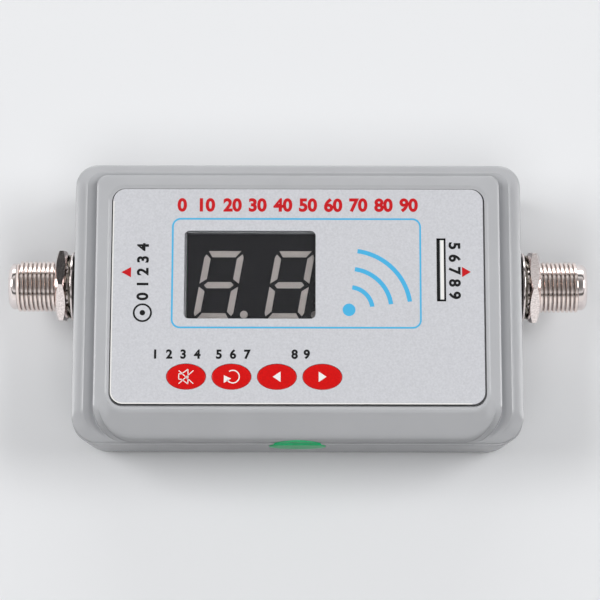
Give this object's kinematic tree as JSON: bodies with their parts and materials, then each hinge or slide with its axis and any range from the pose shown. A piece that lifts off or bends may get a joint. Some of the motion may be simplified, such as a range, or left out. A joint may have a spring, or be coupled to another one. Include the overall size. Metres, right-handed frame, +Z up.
{
  "type": "satellite signal meter",
  "caption": "Hand-held satellite signal meter: moulded two-part case with a seven-segment display, sprung oval keys and a threaded F connector with hex nut at each end.",
  "frame": {"origin": "centre of the flat underside, under the middle of the meter", "axes": "+Z up out of the face, +X towards the right-hand connector, -Y towards the side with the keys"},
  "size_m": [0.1056, 0.0517, 0.022],
  "materials": {
    "case_plastic": "light grey moulded ABS with a fine satin texture",
    "label_film": "silver-grey printed film with a fine velvet grain",
    "smoked_pane": "clear smoked plastic pane",
    "display_face": "dark printed display housing",
    "segment_resin": "milky cast resin, unlit",
    "key_film": "red printed film key",
    "black_plastic": "black moulded plastic",
    "white_plastic": "white insulator",
    "board_laminate": "green coated circuit board laminate",
    "capacitor_sleeve": "dark blue shrink sleeve",
    "nickel_plate": "nickel-plated brass",
    "tinned_steel": "zinc or tin plated sheet steel",
    "screw_steel": "zinc-plated screw",
    "contact_metal": "gold-flashed spring contact",
    "black_rubber": "black rubber sealing washer",
    "seal_film": "green seal sticker"
  },
  "bodies": {
    "case": {"top_cover": "case_plastic", "bottom_cover": "case_plastic", "face_label": "label_film", "display_pane": "smoked_pane", "display_housing": "display_face", "display_segments": "segment_resin", "display_substrate": "board_laminate", "main_board": "board_laminate", "shield_can": "tinned_steel", "sounder": "black_plastic", "control_chip": "black_plastic", "supply_choke": "black_plastic", "smoothing_capacitor": "capacitor_sleeve", "buzzer_switch": "black_plastic", "reset_switch": "black_plastic", "attenuator_down_switch": "black_plastic", "attenuator_up_switch": "black_plastic", "left_barrel": "nickel_plate", "left_dielectric": "white_plastic", "left_contact": "contact_metal", "left_gasket": "black_rubber", "left_washer": "nickel_plate", "left_toothed_washer": "tinned_steel", "left_nut": "nickel_plate", "right_barrel": "nickel_plate", "right_dielectric": "white_plastic", "right_contact": "contact_metal", "right_gasket": "black_rubber", "right_washer": "nickel_plate", "right_toothed_washer": "tinned_steel", "right_nut": "nickel_plate", "far_right_screw": "screw_steel", "far_left_screw": "screw_steel", "near_left_screw": "screw_steel", "near_right_screw": "screw_steel", "seam_seal": "seal_film"},
    "buzzer_button": {"buzzer_key": "key_film", "buzzer_stem": "black_plastic"},
    "reset_button": {"reset_key": "key_film", "reset_stem": "black_plastic"},
    "attenuator_down_button": {"attenuator_down_key": "key_film", "attenuator_down_stem": "black_plastic"},
    "attenuator_up_button": {"attenuator_up_key": "key_film", "attenuator_up_stem": "black_plastic"}
  },
  "joints": [
    {"name": "buzzer_press", "type": "slide", "parent": "case", "child": "buzzer_button", "axis": [0, 0, -1], "range_m": [0, 0.0003], "stiffness_N_per_m": 3000, "springref_m": -0.0003},
    {"name": "reset_press", "type": "slide", "parent": "case", "child": "reset_button", "axis": [0, 0, -1], "range_m": [0, 0.0003], "stiffness_N_per_m": 3000, "springref_m": -0.0003},
    {"name": "attenuator_down_press", "type": "slide", "parent": "case", "child": "attenuator_down_button", "axis": [0, 0, -1], "range_m": [0, 0.0003], "stiffness_N_per_m": 3000, "springref_m": -0.0003},
    {"name": "attenuator_up_press", "type": "slide", "parent": "case", "child": "attenuator_up_button", "axis": [0, 0, -1], "range_m": [0, 0.0003], "stiffness_N_per_m": 3000, "springref_m": -0.0003}
  ]
}
